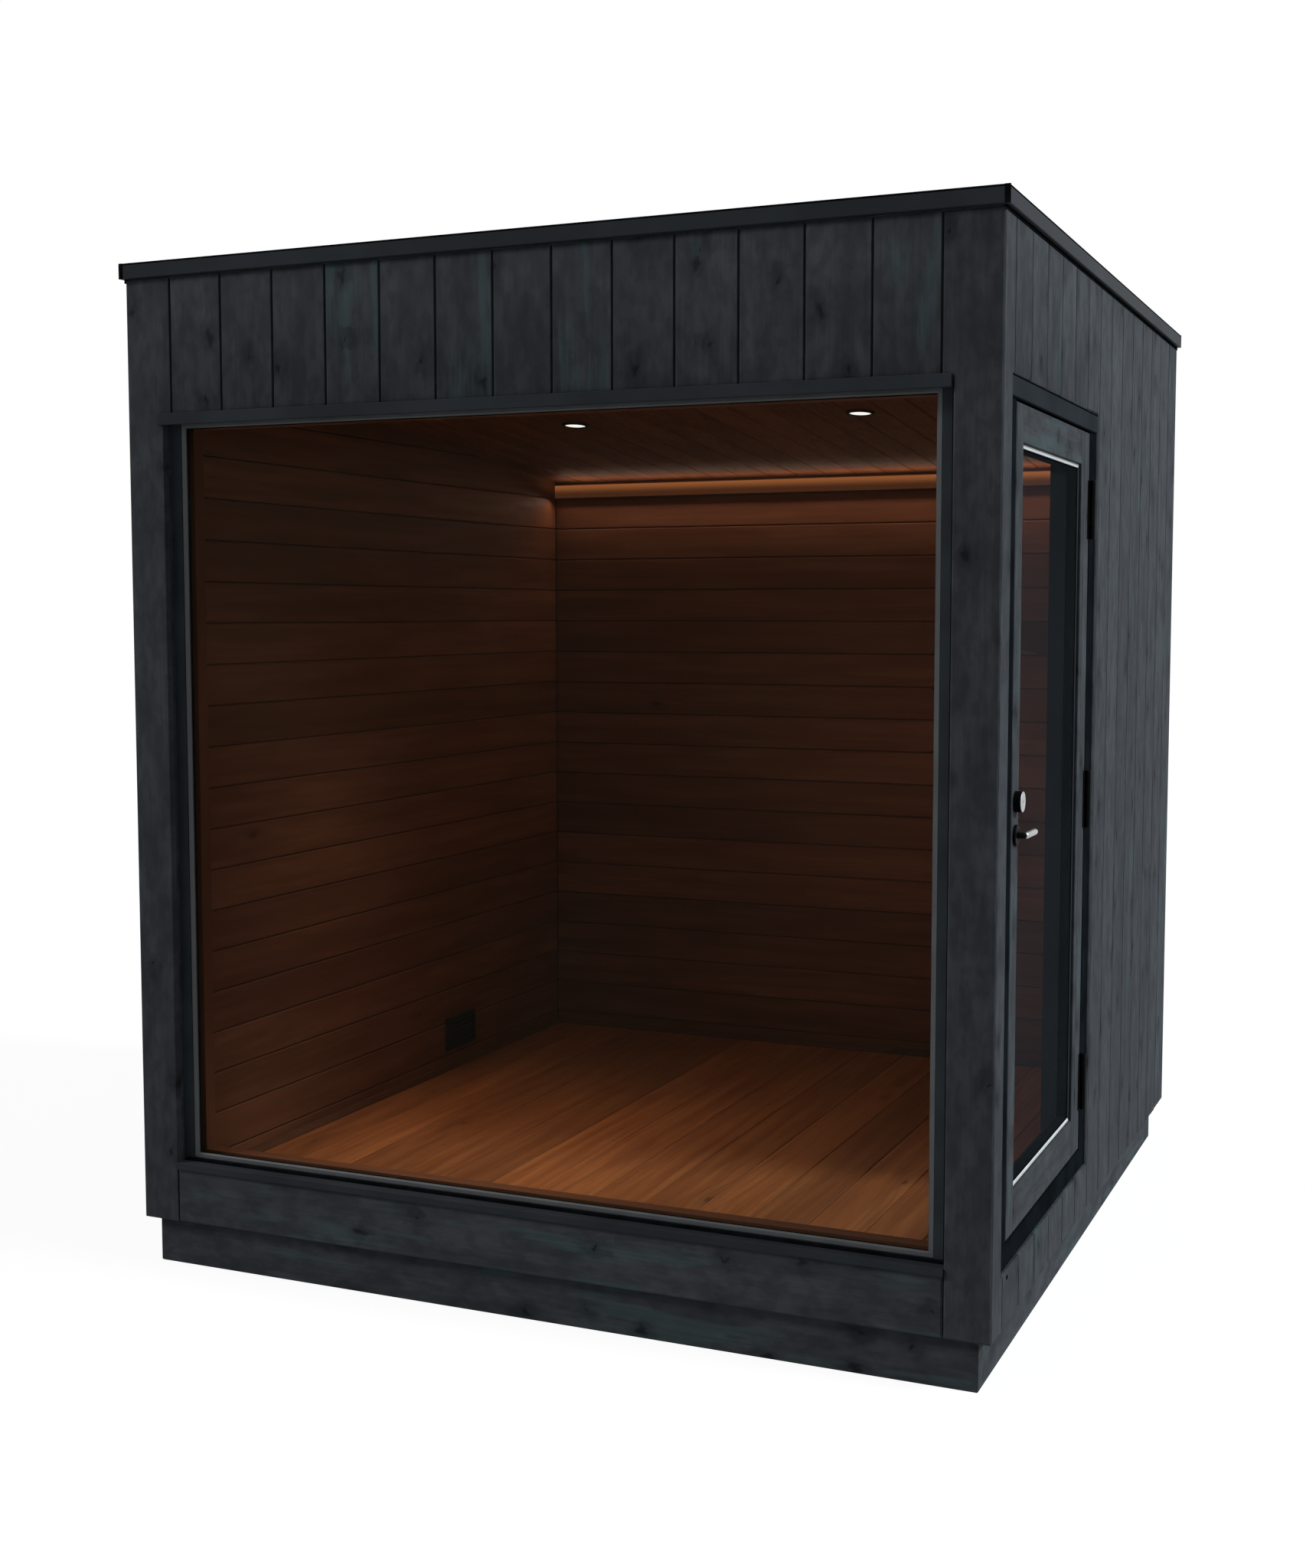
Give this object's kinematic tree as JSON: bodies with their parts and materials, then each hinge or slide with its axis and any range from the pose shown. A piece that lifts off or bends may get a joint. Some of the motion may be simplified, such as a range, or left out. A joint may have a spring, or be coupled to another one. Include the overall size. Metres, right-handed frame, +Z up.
{
  "type": "outdoor sauna cabin",
  "caption": "Small flat-roofed outdoor sauna cabin of dark vertical boards with a full-width front window, a glazed side door, a raised plinth and an empty boarded room.",
  "frame": {"origin": "bottom centre of the whole cabin's bounding box, on the ground it stands on", "axes": "+Z up; the front with the big window faces -Y; the side with the door faces +X"},
  "size_m": [2.234, 2.272, 2.514],
  "materials": {
    "black_stained_timber": "satin",
    "plinth_timber": "matte",
    "floor_boards": "satin",
    "roof_felt": "matte",
    "black_coated_sheet": "satin",
    "heat_treated_boards": "satin",
    "black_joinery": "satin",
    "black_stained_leaf": "satin",
    "grey_bead": "matte",
    "clear_glass": "polished",
    "satin_steel": "satin",
    "black_hinge": "satin",
    "opal_diffuser": "matte",
    "white_light_fitting": "gloss",
    "black_vent": "matte"
  },
  "bodies": {
    "cabin": {"plinth_front": "plinth_timber", "plinth_back": "plinth_timber", "plinth_left": "plinth_timber", "plinth_right": "plinth_timber", "floor": "floor_boards", "corner_post_front_left": "black_stained_timber", "corner_post_front_right": "black_stained_timber", "corner_post_back_left": "black_stained_timber", "corner_post_back_right": "black_stained_timber", "front_header": "black_stained_timber", "front_sill": "black_stained_timber", "back_wall": "black_stained_timber", "left_wall": "black_stained_timber", "right_wall": "black_stained_timber", "door_header": "black_stained_timber", "door_sill": "black_stained_timber", "roof_deck": "roof_felt", "roof_coping": "black_coated_sheet", "ceiling": "heat_treated_boards", "window_frame": "black_joinery", "window_bead": "grey_bead", "window_glass": "clear_glass", "window_lining": "heat_treated_boards", "window_sill_sheet": "black_coated_sheet", "window_drip_strip": "black_coated_sheet", "door_jamb_lock_side": "black_joinery", "door_jamb_hinge_side": "black_joinery", "door_head": "black_joinery", "door_threshold": "black_joinery", "strike_plate": "satin_steel", "hinge_jamb_half_low": "black_hinge", "hinge_jamb_half_middle": "black_hinge", "hinge_jamb_half_top": "black_hinge", "led_strip": "opal_diffuser", "downlight_left": "white_light_fitting", "downlight_right": "white_light_fitting", "wall_vent": "black_vent", "skirting": "heat_treated_boards"},
    "door": {"door_leaf": "black_stained_leaf", "door_glass": "clear_glass", "door_bead": "grey_bead", "handle_rose_outer": "satin_steel", "handle_rose_inner": "satin_steel", "lock_rose": "satin_steel", "thumb_turn_rose": "satin_steel", "thumb_turn": "satin_steel", "latch_plate": "satin_steel", "hinge_leaf_half_low": "black_hinge", "hinge_leaf_half_middle": "black_hinge", "hinge_leaf_half_top": "black_hinge"},
    "handle": {"lever_outer": "satin_steel", "lever_inner": "satin_steel"}
  },
  "joints": [
    {"name": "door_hinge", "type": "hinge", "parent": "cabin", "child": "door", "pos_m": [1.0943, -0.1835, 1.2], "axis": [0, 0, 1], "range_deg": [0, 100]},
    {"name": "handle_turn", "type": "hinge", "parent": "door", "child": "handle", "pos_m": [1.086, -0.9395, 1.179], "axis": [-1, 0, 0], "range_deg": [0, 45], "stiffness_Nm_per_rad": 0.9}
  ]
}
